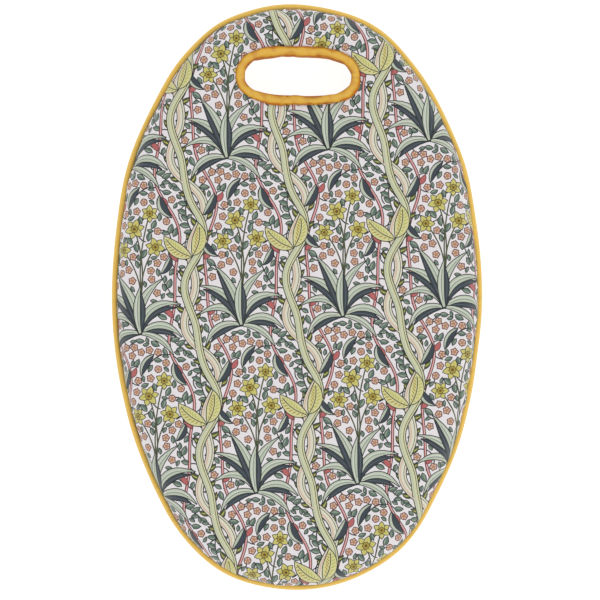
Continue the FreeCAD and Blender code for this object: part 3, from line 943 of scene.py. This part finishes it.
# ------------------------------------------------------------------ materials
class Surface:
    """A material's node tree, built up with short calls."""

    def __init__(self, name):
        self.material = bpy.data.materials.new(name)
        self.material.use_nodes = True
        self.tree = self.material.node_tree
        self.shader = self.tree.nodes["Principled BSDF"]

    def add(self, kind, *links, settings=(), **values):
        """A node with its inputs linked in order, its settings made and other inputs set by name."""
        node = self.tree.nodes.new("ShaderNode" + kind)
        for name, value in settings:
            setattr(node, name, value)
        for number, link in enumerate(links):
            if link is not None:
                self.tree.links.new(link, node.inputs[number])
        for name, value in values.items():
            node.inputs[name.replace("_", " ")].default_value = value
        return node

    def math(self, operation, first, second):
        node = self.tree.nodes.new("ShaderNodeMath")
        node.operation = operation
        for number, value in enumerate((first, second)):
            if isinstance(value, (int, float)):
                node.inputs[number].default_value = value
            else:
                self.tree.links.new(value, node.inputs[number])
        return node.outputs[0]

    def attribute(self, name, output):
        node = self.tree.nodes.new("ShaderNodeAttribute")
        node.attribute_name = name
        return node.outputs[output]

    def noise(self, where, scale, detail=2.0):
        node = self.add("TexNoise", where, settings=[("noise_dimensions", "3D")])
        node.inputs["Scale"].default_value = scale
        node.inputs["Detail"].default_value = detail
        return node.outputs["Fac"]

    def spread(self, value, low, high):
        """A value of 0 to 1 carried to low to high."""
        node = self.add("MapRange", value)
        node.inputs["To Min"].default_value = low
        node.inputs["To Max"].default_value = high
        return node.outputs[0]

    def mix(self, share, first, second, blend="MIX"):
        node = self.tree.nodes.new("ShaderNodeMix")
        node.data_type = "RGBA"
        node.blend_type = blend
        for number, value in ((0, share), (6, first), (7, second)):
            if isinstance(value, (tuple, float, int)):
                node.inputs[number].default_value = value
            else:
                self.tree.links.new(value, node.inputs[number])
        return node.outputs[2]

    def weave(self, cloth, pitch, turn):
        """Height of a plain weave over cloth coordinates in millimetres."""
        mapping = self.add("Mapping", cloth)
        mapping.inputs["Rotation"].default_value[2] = math.radians(turn)
        mapping.inputs["Scale"].default_value = (math.pi / pitch,) * 3
        parts = self.add("SeparateXYZ", mapping.outputs[0])
        waves = [self.math("SINE", parts.outputs[i], 0.0) for i in (0, 1)]
        return self.math("MULTIPLY", *waves)

    def finish(self, colour, roughness, height, depth, sheen, specular=0.18):
        bump = self.tree.nodes.new("ShaderNodeBump")
        bump.inputs["Strength"].default_value = 1.0
        bump.inputs["Distance"].default_value = depth / METRE
        self.tree.links.new(height, bump.inputs["Height"])
        self.tree.links.new(bump.outputs[0], self.shader.inputs["Normal"])
        self.tree.links.new(colour, self.shader.inputs["Base Color"])
        self.tree.links.new(roughness, self.shader.inputs["Roughness"])
        self.shader.inputs["Specular IOR Level"].default_value = specular
        self.shader.inputs["Sheen Weight"].default_value = sheen
        self.shader.inputs["Sheen Roughness"].default_value = 0.5
        return self.material


def cloth_material(name, base, pitch, turn, weave_depth, shade=None, sheen=0.15, weave_gap_shade=0.12):
    """Woven cotton. base is a colour, or None to read the printed one. shade colours painted shade in tucks
    and creases.
    """
    s = Surface(name)
    cloth = s.attribute("cloth", "Vector")
    colour = s.attribute("print", "Color") if base is None else linear(base)
    weave = s.weave(cloth, pitch, turn)
    fibres = s.noise(cloth, 2.2, 3.0)
    patches = s.noise(cloth, 0.05, 2.0)
    patchy = s.spread(patches, 0.0, 0.22)
    colour = s.mix(patchy, colour, s.mix(1.0, colour, (0.84, 0.84, 0.84, 1.0), "MULTIPLY"))
    # Painted shade between the weave's threads: the colour darkens where the weave's height crosses zero.
    lines = s.spread(s.math("ABSOLUTE", weave, 0.0), weave_gap_shade, 0.0)
    colour = s.mix(lines, colour, (0.1, 0.08, 0.05, 1.0))
    if shade is not None:
        # Painted shade: the colour darkens towards the shade colour where the mesh marks shade.
        colour = s.mix(s.attribute("painted_shade", "Fac"), colour, linear(shade))
    worn = s.math("MULTIPLY", s.attribute("wear", "Fac"), s.spread(fibres, 0.0, 0.12))
    colour = s.mix(worn, colour, (0.86, 0.84, 0.78, 1.0))
    roughness = s.spread(fibres, 0.72, 0.95)
    height = s.math("ADD", weave, s.math("MULTIPLY", fibres, 0.8))
    return s.finish(colour, roughness, height, weave_depth, sheen)


def foam_material():
    """Open-cell foam: pale, with pores darkened by painted shade."""
    s = Surface("open_cell_foam")
    place = s.add("TexCoord").outputs["Object"]
    pores = s.tree.nodes.new("ShaderNodeTexVoronoi")
    pores.inputs["Scale"].default_value = 700.0
    s.tree.links.new(place, pores.inputs["Vector"])
    tone = s.noise(place, 30.0)
    colour = s.mix(s.spread(tone, 0.0, 1.0), linear((238, 234, 214)), linear((222, 216, 192)))
    # Painted shade in the pores: darker towards the middle of each pore.
    colour = s.mix(s.spread(pores.outputs["Distance"], 0.25, 0.0), colour, linear((176, 168, 140)))
    return s.finish(colour, s.spread(tone, 0.85, 1.0), pores.outputs["Distance"], 0.25, 0.0)


def thread_material(name, base):
    """Twisted sewing thread."""
    s = Surface(name)
    place = s.add("TexCoord").outputs["Object"]
    twist = s.tree.nodes.new("ShaderNodeTexWave")
    twist.inputs["Scale"].default_value = 900.0
    twist.bands_direction = "DIAGONAL"
    s.tree.links.new(place, twist.inputs["Vector"])
    ply = twist.outputs["Fac"]
    colour = s.mix(s.spread(ply, 0.0, 0.5), linear(base), linear(tuple(0.72 * c for c in base)))
    return s.finish(colour, s.spread(ply, 0.45, 0.65), ply, 0.06, 0.1, 0.4)


# ------------------------------------------------------------------ the covers
def panel_wear(flat, roll):
    """1 where the cloth turns over an edge and rubs, 0 on the flat."""
    _, outside = EDGE.locate(flat)
    cloth = roll.surplus - outside
    return np.exp(-((cloth - roll.length * 0.55) / 5.0) ** 2)


LINING_GRID = 9.0


def close_shell(vertices, faces, flat, roll, up, settled):
    """Adds the inside of the cloth, a plainer mesh that shares the outside's rim."""
    edges, uses = np.unique(face_edges(faces), axis=0, return_counts=True)
    rim_edges = edges[uses == 1]
    rim, rim_edges = np.unique(rim_edges, return_inverse=True)
    rim_edges = rim_edges.reshape(-1, 2)
    inner = face_grid(roll, LINING_GRID, 2, 2)
    rows = [EDGE.moved(roll.surplus - c, 6.0) for c in np.linspace(2.0, roll.length, 8)]
    dips = [SLOT.moved(out, 4.0) for out in (HOLE_MARGIN + 3, HOLE_MARGIN + 7)]
    loose = np.vstack([inner, *rows, *dips])
    points = np.vstack([flat[rim], loose])
    found = triangulate(points, rim_edges.tolist(), [], 1e-6)
    spots = np.array([tuple(v) for v in found[0]])
    source = [o[0] if o else -1 for o in found[3]]
    middle = np.array([spots[list(t)].mean(0) for t in found[2]])
    keep = (-EDGE.locate(middle)[1] > -roll.surplus) & (SLOT.locate(middle)[1] > HOLE_MARGIN)
    shares_rim = [0 <= o < len(rim) for o in source]
    lining = drape(spots, roll, up, settled)
    fresh = np.cumsum([not r for r in shares_rim]) - 1
    number = [int(rim[o]) if r else len(vertices) + int(f) for o, r, f in zip(source, shares_rim, fresh)]
    turned = np.array([t for t, k in zip(found[2], keep) if k])
    outward = area_normals(lining, turned)
    if outward[:, 2].sum() * up < 0:
        outward = -outward
    own = [not r for r in shares_rim]
    lining = (lining - outward * COVER_CLOTH)[own]
    inside = np.array(number)[turned]
    flip = clockwise(spots, turned) == (up < 0)
    inside[flip] = inside[flip][:, ::-1]
    return np.vstack([vertices, lining]), np.vstack([faces, inside]), spots[own]


ROLL_RINGS = 1.7            # cloth between two rings of points over a rolled edge


def make_panel(name, roll, up, material, slot, grid, shapes=(), tones=(), palette=None):
    """One panel of the cover as a closed shell of cloth, with a print in tones of a palette."""
    loose = loose_points(roll, grid, ROLL_RINGS)
    if palette is None:
        flat, faces, _ = fill_flat(roll, shapes, loose)
    else:
        flat, faces, owner = fill_flat(roll, shapes, np.empty((0, 2)))
        tone = np.where(owner >= 0, tones[owner], 0)
        flat, faces, tone = lighten(roll, flat, faces, tone, loose)
    settled = settle(roll, up)
    vertices = drape(flat, roll, up, settled)
    if up < 0:
        faces = faces[:, ::-1]
    outside = len(faces)
    vertices, faces, lining = close_shell(vertices, faces, flat, roll, up, settled)
    cloth = np.vstack([flat, lining])
    normals = area_normals(vertices, faces)
    normals[:len(flat)] = area_normals(vertices[:len(flat)], faces[:outside])
    piece = new_piece(name, vertices, faces, material, [name], normals)
    add_attribute(piece, "cloth", "FLOAT_VECTOR", "POINT", np.c_[cloth, np.zeros(len(cloth))])
    add_attribute(piece, "wear", "FLOAT", "POINT", panel_wear(cloth, roll))
    # Painted shade where the panel's cloth turns under the roll's belly into the seam.
    from_seam = roll.surplus - EDGE.locate(cloth)[1]
    add_attribute(piece, "painted_shade", "FLOAT", "POINT", 0.75 * ease(6.5, 2.5, from_seam))
    if palette is not None:
        ink = palette[np.r_[tone, np.zeros(len(faces) - outside, int)]]
        add_attribute(piece, "print", "FLOAT_COLOR", "CORNER", np.repeat(ink, 3, axis=0))
    return piece


# ------------------------------------------------------------------ swept pieces
def sweep(ring, along, section):
    """A closed section swept round a ring: section gives outset and height, station by station."""
    stations, size = section.shape[:2]
    points, normals = ring.at(along)
    plan = points[:, None, :] + normals[:, None, :] * section[:, :, :1]
    vertices = np.concatenate([plan, section[:, :, 1:]], 2).reshape(-1, 3)
    return vertices, grid_faces(stations, size, True, True)


def smooth_line(points, per_span):
    """A smooth open line through the points."""
    points = np.array(points, float)
    padded = np.vstack([2 * points[0] - points[1], points, 2 * points[-1] - points[-2]])
    share = np.linspace(0, 1, per_span, endpoint=False)[:, None]
    line = []
    for a, b, c, d in zip(padded, padded[1:], padded[2:], padded[3:]):
        line.append(0.5 * (2 * b + (c - a) * share + (2 * a - 5 * b + 4 * c - d) * share**2
                           + (3 * b - a - 3 * c + d) * share**3))
    return np.vstack([*line, points[-1:]])


PIPING_RADIUS = 2.55
PIPING_STEP = 1.5
TAIL_LENGTH = 5.0           # how far the bias strip's two edges go in past the seam
TAIL_GAP = 0.35             # half the gap between them
CORD_STEP = 1.4
FOAM_STEP = 3.0


def make_piping(material):
    """The bias strip round the cord: a tube with a short tail that goes into the seam."""
    along = EDGE.stations(PIPING_STEP)
    count = len(along)
    _, normal = EDGE.at(along)
    radius = PIPING_RADIUS + 0.22 * ring_ripple(along, EDGE.length, 40, 220, 31) + 0.2 * (normal @ [0.6, 0.5])
    lift = 0.3 * ring_ripple(along, EDGE.length, 60, 300, 32)
    around = np.linspace(math.radians(28), math.radians(332), 22)
    section = np.empty((count, len(around) + 2, 2))
    crease = ring_ripple(along, EDGE.length, 4, 9, 33)[:, None] * np.sin(2 * around)
    reach = radius[:, None] + 0.1 * crease
    section[:, :-2, 0] = -radius[:, None] - reach * np.cos(around)
    section[:, :-2, 1] = SEAM_LEVEL + lift[:, None] + reach * np.sin(around)
    section[:, -2] = [-SEAM_INSET - TAIL_LENGTH, SEAM_LEVEL - TAIL_GAP]
    section[:, -1] = [-SEAM_INSET - TAIL_LENGTH, SEAM_LEVEL + TAIL_GAP]
    vertices, faces = sweep(EDGE, along, section)
    piece = new_piece("piping_sleeve", vertices, faces, material, ["piping_sleeve"])
    width = np.r_[np.arange(len(around)) * 0.65, 20.0, 25.0]
    cloth = np.stack(np.broadcast_arrays(along[:, None], width[None, :], 0.0), -1)
    add_attribute(piece, "cloth", "FLOAT_VECTOR", "POINT", cloth)
    rub = np.broadcast_to(np.exp(-((np.r_[around, 0, 0] - np.pi) / 0.9) ** 2), (count, len(around) + 2))
    add_attribute(piece, "wear", "FLOAT", "POINT", rub * 0.8)
    # Painted shade on the tube's inner side, where it runs under the cover's belly into the seam.
    painted_shade = np.exp(-(np.minimum(np.r_[around, 0, 0], 2 * np.pi - np.r_[around, 0, 0]) / 0.8) ** 2)
    add_attribute(piece, "painted_shade", "FLOAT", "POINT", np.broadcast_to(painted_shade, rub.shape) * 0.8)
    return piece


BINDING_SECTION = [         # outset and height over the visible side, from tuck to tuck
    (6.5, 30.9), (6.95, 32.1), (6.2, 33.9), (3.9, 34.9), (1.6, 34.2), (0.3, 32.2), (0.0, 29.0),
    (0.4, 23.0), (0.9, 17.5), (1.0, 12.0), (1.0, 6.2), (1.2, 2.9), (2.3, 0.9), (4.2, 0.3),
    (6.1, 1.2), (6.8, 2.7), (6.5, 4.0),
]
BINDING_BACK = [(5.2, 3.6), (2.3, 4.2), (1.8, 17.5), (1.7, 31.0), (5.2, 31.2)]
BINDING_STEP = 1.4
BINDING_CLING = 0.1
BINDING_SLACK = 0.03
BINDING_PUFF = 0.7


def binding_wrinkles(places, held):
    """Simulates the binding's cloth, and evens the result out over its near neighbours."""
    rows, columns = held.shape
    faces = grid_faces(rows, columns, True, False)[:, ::-1]
    move = simulate(places.reshape(-1, 3), faces, held.ravel(), 1.0, BINDING_SLACK, 4.0)
    move = move.reshape(rows, columns, 3)
    for _ in range(2):
        move = (np.roll(move, 1, 0) + 2 * move + np.roll(move, -1, 0)) / 4
        move[:, 1:-1] = (move[:, :-2] + 2 * move[:, 1:-1] + move[:, 2:]) / 4
    return capped(move, BINDING_PUFF)


def make_binding(material):
    """The padded binding that wraps the edge of the hand slot, joined on a slant."""
    along = SLOT.stations(BINDING_STEP)
    count = len(along)
    visible = smooth_line(BINDING_SECTION, 3)
    section = np.vstack([visible, BINDING_BACK])
    section = np.broadcast_to(section, (count, *section.shape)).copy()
    height = section[:, :, 1]
    front = np.arange(section.shape[1]) < len(visible)
    top = ease(26, 33, height) * front
    base = ease(9, 2, height) * front
    # The roll is fuller in some stretches, and its inner edge wanders.
    full = 0.55 * ring_ripple(along, SLOT.length, 26, 90, 41)[:, None]
    wander = 0.45 * ring_ripple(along, SLOT.length, 22, 70, 42)[:, None]
    outset = section[:, :, 0]
    outset += (top + base) * (full * (outset / BINDING_REACH) + wander * (1 - outset / BINDING_REACH))
    height += (top - base) * 0.35 * full
    join = SLOT.locate(SLOT_CENTRE[None] + [[-8.0, -SLOT_HALF_WIDTH]])[0][0]
    groove = np.exp(-(((along[:, None] - join + section[:, :, 0] * 1.0) / 0.7) ** 2))
    height -= (top - base) * 0.4 * groove
    vertices, faces = sweep(SLOT, along, np.stack([outset, height], -1))
    places = vertices.reshape(count, -1, 3)
    crease = plane_ripple(vertices @ np.diag([1.0, 1.0, 0.0])[:, :2], 4.5, 14, 43).reshape(height.shape)
    places[:, :, 2] += (top - base) * 0.26 * crease
    held = np.where(np.arange(len(visible)) % (len(visible) - 2) < 2, 1.0, BINDING_CLING)
    held = np.broadcast_to(held, (count, len(visible)))
    places[:, :len(visible)] += binding_wrinkles(places[:, :len(visible)], held)
    places[:, :, 2] = np.maximum(places[:, :, 2], 0.0)
    piece = new_piece("handle_binding", vertices, faces[:, ::-1], material, ["handle_binding"])
    lengths = np.r_[0, np.cumsum(np.hypot(*np.diff(section[0], axis=0).T))]
    cloth = np.stack(np.broadcast_arrays(along[:, None], lengths[None, :], 0.0), -1)
    add_attribute(piece, "cloth", "FLOAT_VECTOR", "POINT", cloth)
    reach = section[:, :, 0]
    # Painted shade: darker at the roll's outer sides where it tucks under the cover, down its inner wall, in
    # the join's groove and in the troughs of its creases, with less on their ridges.
    inner_line = ease(33.4, 32.0, height) * ease(1.0, 4.0, height) * front
    painted_shade = ease(4.8, 6.6, reach) + 0.8 * inner_line + 0.6 * groove - 0.3 * (top + base) * crease
    add_attribute(piece, "painted_shade", "FLOAT", "POINT", np.clip(painted_shade, 0, 1) * 0.9)
    add_attribute(piece, "wear", "FLOAT", "POINT", top * np.exp(-((reach - 3.0) / 1.8) ** 2))
    return piece


def make_cord(material):
    """Three soft strands twisted together inside the piping."""
    strands, strand_radius, twist_radius, turn_length = 3, 0.95, 0.95, 11.0
    along = EDGE.stations(CORD_STEP)
    turns = round(EDGE.length / turn_length)
    around = np.arange(8) * np.pi / 4
    vertices, faces = [], []
    for strand in range(strands):
        phase = 2 * np.pi * (turns * along / EDGE.length + strand / strands)
        section = np.stack([
            -2.6 + (twist_radius * np.cos(phase))[:, None] + strand_radius * np.cos(around),
            SEAM_LEVEL + (twist_radius * np.sin(phase))[:, None] + strand_radius * np.sin(around),
        ], -1)
        points, quads = sweep(EDGE, along, section)
        faces.append(quads[:, ::-1] + len(points) * strand)
        vertices.append(points)
    return new_piece("piping_cord", np.vstack(vertices), np.vstack(faces), material, ["piping_cord"])


def make_foam(material):
    """The foam slab: rounded edges, a shallow groove for the seam allowance, and the slot."""
    along = EDGE.stations(FOAM_STEP)
    count = len(along)
    side = smooth_line([
        (-22, 1.4), (-15, 1.5), (-10, 3.2), (-7.2, 8.0), (-7.0, 12.5), (-9.5, 15.0), (-7.0, 17.5),
        (-7.2, 24.0), (-9.8, 30.0), (-15, 32.5), (-22, 32.7),
    ], 4)
    rim, _ = sweep(EDGE, along, np.broadcast_to(side, (count, *side.shape)))
    rim_faces = grid_faces(count, len(side), True, False)
    hole_count = 120
    hole_along = np.arange(hole_count) * SLOT.length / hole_count
    wall = smooth_line([(10, 1.4), (8.4, 4.4), (3.2, 5.2), (2.2, 10.0), (2.1, 17.5), (2.2, 25.0),
                        (3.2, 29.7), (8.4, 30.2), (10, 32.7)], 3)
    lining, _ = sweep(SLOT, hole_along, np.broadcast_to(wall, (hole_count, *wall.shape)))
    wall_faces = grid_faces(hole_count, len(wall), True, False)[:, ::-1] + len(rim)
    vertices, faces = [rim, lining], [*rim_faces.tolist(), *wall_faces.tolist()]
    outer_ends = np.arange(count) * len(side)
    inner_ends = len(rim) + np.arange(hole_count) * len(wall)
    for outer, inner, flip in ((outer_ends + len(side) - 1, inner_ends + len(wall) - 1, False),
                               (outer_ends, inner_ends, True)):
        both = np.r_[outer, inner]
        spots = np.vstack([rim, lining])[both][:, :2]
        loops = [list(range(count)), list(range(count, count + hole_count))]
        found = triangulate(spots, [], loops, 1e-6)
        for triangle, owner in zip(found[2], found[5]):
            if 0 in owner and 1 not in owner:
                corners = [int(both[found[3][v][0]]) for v in triangle]
                faces.append(corners[::-1] if flip else corners)
    return new_piece("foam_core", np.vstack(vertices), faces, material, ["foam_core"])


# ------------------------------------------------------------------ stitches
STITCH_STATIONS = 5         # rings of points along one stitch
STITCH_SIDES = 6
THREAD = 0.5
CLOSING_THREAD = 0.55
SEAM_PITCH, SEAM_STITCH = 3.0, 2.6              # from stitch to stitch, and the length of one
HANDLE_PITCH, HANDLE_STITCH = 3.2, 2.4
CLOSING_PITCH, CLOSING_STITCH = 4.0, 3.6
SEAM_DEPTH = 1.6            # how far inside the piping's seam its threads run
HANDLE_OUTSET = 6.55        # where the binding is stitched down, outside the clear slot


def stitch_row(name, ring, along, outset, level, length, thick, material, slant=0.0, bow=0.35):
    """Separate stitches along a ring. level is their height, and they bow out of it."""
    share = np.linspace(-0.5, 0.5, STITCH_STATIONS)
    arch = bow * (1 - (2 * share) ** 2)
    radius = thick / 2 * np.array([0.45, 0.95, 1.0, 0.95, 0.45])
    around = np.arange(STITCH_SIDES) * 2 * np.pi / STITCH_SIDES
    tube = grid_faces(STITCH_STATIONS, STITCH_SIDES, False, True)
    ends = [list(range(STITCH_SIDES - 1, -1, -1)), list(range(tube.max() + 1 - STITCH_SIDES, tube.max() + 1))]
    vertices, faces = [], []
    shift = share * length * math.sin(slant)
    rise = level + arch * np.sign(level - SEAM_LEVEL)
    for middle in along:
        spots, normals = ring.at(middle + share * length * math.cos(slant))
        for spot, normal, size, z, slide in zip(spots, normals, radius, rise, shift):
            for angle in around:
                side = normal * (outset + slide + size * math.cos(angle))
                vertices.append((*(spot + side), z + size * math.sin(angle)))
        first = len(vertices) - STITCH_STATIONS * STITCH_SIDES
        faces.extend([first + i for i in face] for face in [*tube.tolist(), *ends])
    return new_piece(name, vertices, faces, material, [name])


def make_stitches(material):
    """The seam's two threads, the two stitch lines of the binding, and the closing stitches."""
    seam = np.arange(0, EDGE.length - 1, SEAM_PITCH)
    threads = (("perimeter_seam_thread", TOP_SEAM + 0.5), ("perimeter_bobbin_thread", BASE_SEAM - 0.5))
    for name, level in threads:
        stitch_row(name, EDGE, seam, -SEAM_INSET - SEAM_DEPTH, level, SEAM_STITCH, THREAD, material, bow=0.1)
    handle = np.arange(0, SLOT.length - 1, HANDLE_PITCH)
    for name, level in (("handle_top_thread", 32.9), ("handle_base_thread", 2.0)):
        stitch_row(name, SLOT, handle, HANDLE_OUTSET, level, HANDLE_STITCH, THREAD, material, bow=0.15)
    low, high = node_box("closing_seam_thread")
    corner_start = EDGE.locate(np.array([[low[0], low[1]]]))[0][0]
    corner_end = EDGE.locate(np.array([[high[0], high[1]]]))[0][0]
    closing = np.arange(corner_start, corner_end, CLOSING_PITCH)
    stitch_row("closing_seam_thread", EDGE, closing, -SEAM_INSET + 0.9, BASE_SEAM - 1.0,
               CLOSING_STITCH, CLOSING_THREAD, material, slant=0.5, bow=0.3)


# ------------------------------------------------------------------ studio
VIEW_SPAN = 460.0           # millimetres that the picture spans at the level of the piping
LENS = 200.0
SENSOR = 36.0
SURROUNDINGS = 0.86         # how bright the world round the pad is
FLOOR_GLOW = 0.88           # light that the floor gives off itself
AIM = np.array([2.3, -2.7])


def make_camera():
    """Straight down on the pad, with the hand slot at the top of the picture."""
    camera = bpy.data.objects.new("camera", bpy.data.cameras.new("camera"))
    camera.data.lens = LENS
    camera.data.sensor_width = SENSOR
    camera.location = (*(AIM / METRE), (SEAM_LEVEL + VIEW_SPAN * LENS / SENSOR) / METRE)
    bpy.context.scene.collection.objects.link(camera)
    bpy.context.scene.camera = camera


def make_floor():
    mesh = bpy.data.meshes.new("floor")
    reach = 3.0
    corners = [(-reach, -reach, 0), (reach, -reach, 0), (reach, reach, 0), (-reach, reach, 0)]
    mesh.from_pydata(corners, [], [(0, 1, 2, 3)])
    material = bpy.data.materials.new("floor")
    material.use_nodes = True
    shader = material.node_tree.nodes["Principled BSDF"]
    shader.inputs["Base Color"].default_value = (0.3, 0.3, 0.3, 1.0)
    shader.inputs["Roughness"].default_value = 0.9
    shader.inputs["Specular IOR Level"].default_value = 0.1
    shader.inputs["Emission Color"].default_value = (1.0, 1.0, 1.0, 1.0)
    shader.inputs["Emission Strength"].default_value = FLOOR_GLOW
    mesh.materials.append(material)
    floor = bpy.data.objects.new("floor", mesh)
    floor.location.z = -0.0005
    bpy.context.scene.collection.objects.link(floor)


def add_light(name, place, size, power):
    light = bpy.data.lights.new(name, "AREA")
    light.shape = "DISK"
    light.size = size
    light.energy = power
    lamp = bpy.data.objects.new(name, light)
    lamp.location = place
    lamp.rotation_euler = (-Vector(place)).to_track_quat("-Z", "Y").to_euler()
    bpy.context.scene.collection.objects.link(lamp)


def make_studio():
    """A large soft light overhead, a softer key from the lower right, and pale surroundings."""
    world = bpy.data.worlds.new("studio")
    world.use_nodes = True
    world.node_tree.nodes["Background"].inputs["Color"].default_value = (1.0, 1.0, 1.0, 1.0)
    world.node_tree.nodes["Background"].inputs["Strength"].default_value = SURROUNDINGS
    bpy.context.scene.world = world
    bpy.context.scene.view_settings.view_transform = "Standard"
    add_light("overhead", (0.1, -0.1, 2.2), 0.9, 4.0)
    add_light("key", (0.9, -0.7, 1.6), 0.6, 3.0)
    make_floor()


# ------------------------------------------------------------------ the object
make_camera()
make_studio()

golden = cloth_material("golden_bias_cotton", (236, 184, 62), 0.75, 45, 0.07, (182, 98, 20), 0.06, 0.14)
# The piping's golden cotton is the binding's, painted paler and yellower as painted light for the fuller
# light on the piping.
lit_golden = cloth_material(
    "golden_piping_cotton", (248, 204, 100), 0.75, 45, 0.07, (168, 112, 42), 0.06, 0.14
)
plain_golden = cloth_material("golden_cotton", (228, 178, 72), 0.5, 0, 0.06, (168, 98, 24), 0.06, 0.1)
printed = cloth_material("printed_cotton", None, 0.45, 0, 0.04, (58, 56, 54), 0.03, 0.05)

top_cover = make_panel("top_cover", TOP_SIDE, 1, printed, "printed_cloth", 4.2, *printed_shapes())
base_cover = make_panel("base_cover", BASE_SIDE, -1, plain_golden, "base_cloth", 4.0)
foam_core = make_foam(foam_material())
make_piping(lit_golden)
make_cord(thread_material("cotton_cord", (236, 230, 214)))
binding = make_binding(golden)
make_stitches(thread_material("golden_thread", (222, 172, 80)))
